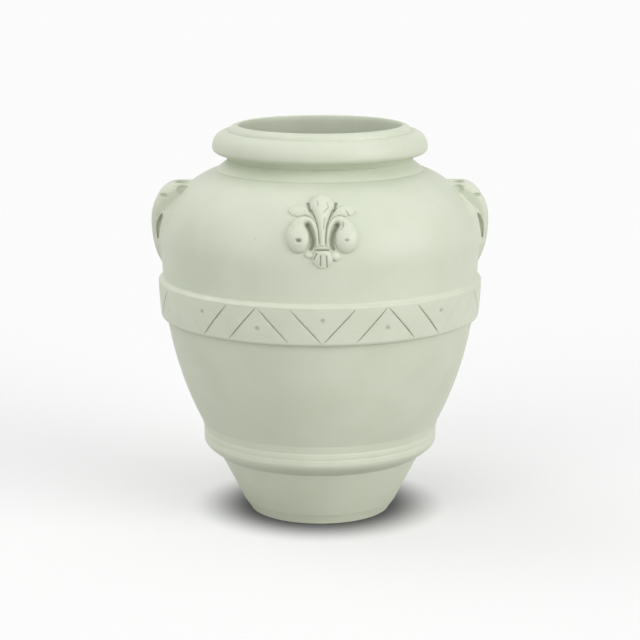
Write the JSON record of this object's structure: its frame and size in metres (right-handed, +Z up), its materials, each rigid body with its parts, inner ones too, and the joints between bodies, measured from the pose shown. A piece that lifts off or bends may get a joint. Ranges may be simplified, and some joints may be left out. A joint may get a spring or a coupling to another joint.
{
  "type": "jar planter",
  "caption": "Round-shouldered clay jar planter with a rolled rim, ear handles, a lily relief, a scored zigzag belly band, a moulded ledge and a tapered foot; holds soil and a plant.",
  "frame": {"origin": "middle of the standing face, on the axis of the jar", "axes": "+Z up along the axis of the jar, -Y towards the lily relief, +X towards the right handle"},
  "size_m": [0.5146, 0.4966, 0.6],
  "materials": {
    "wall_clay": "satin sage-green coat on fired clay",
    "relief_clay": "satin sage-green coat on pressed clay"
  },
  "bodies": {
    "root": {"base_slab": "wall_clay", "foot_section": "wall_clay", "belly_section": "wall_clay", "shoulder_section": "wall_clay", "rim_section": "wall_clay", "foot_ledge": "wall_clay", "belly_band": "relief_clay", "left_handle": "relief_clay", "right_handle": "relief_clay", "lily_centre_petal": "relief_clay", "lily_left_curl": "relief_clay", "lily_right_curl": "relief_clay", "lily_left_leaf": "relief_clay", "lily_right_leaf": "relief_clay", "lily_tie": "relief_clay", "lily_tail": "relief_clay", "lily_left_bud": "relief_clay", "lily_right_bud": "relief_clay"}
  },
  "joints": []
}
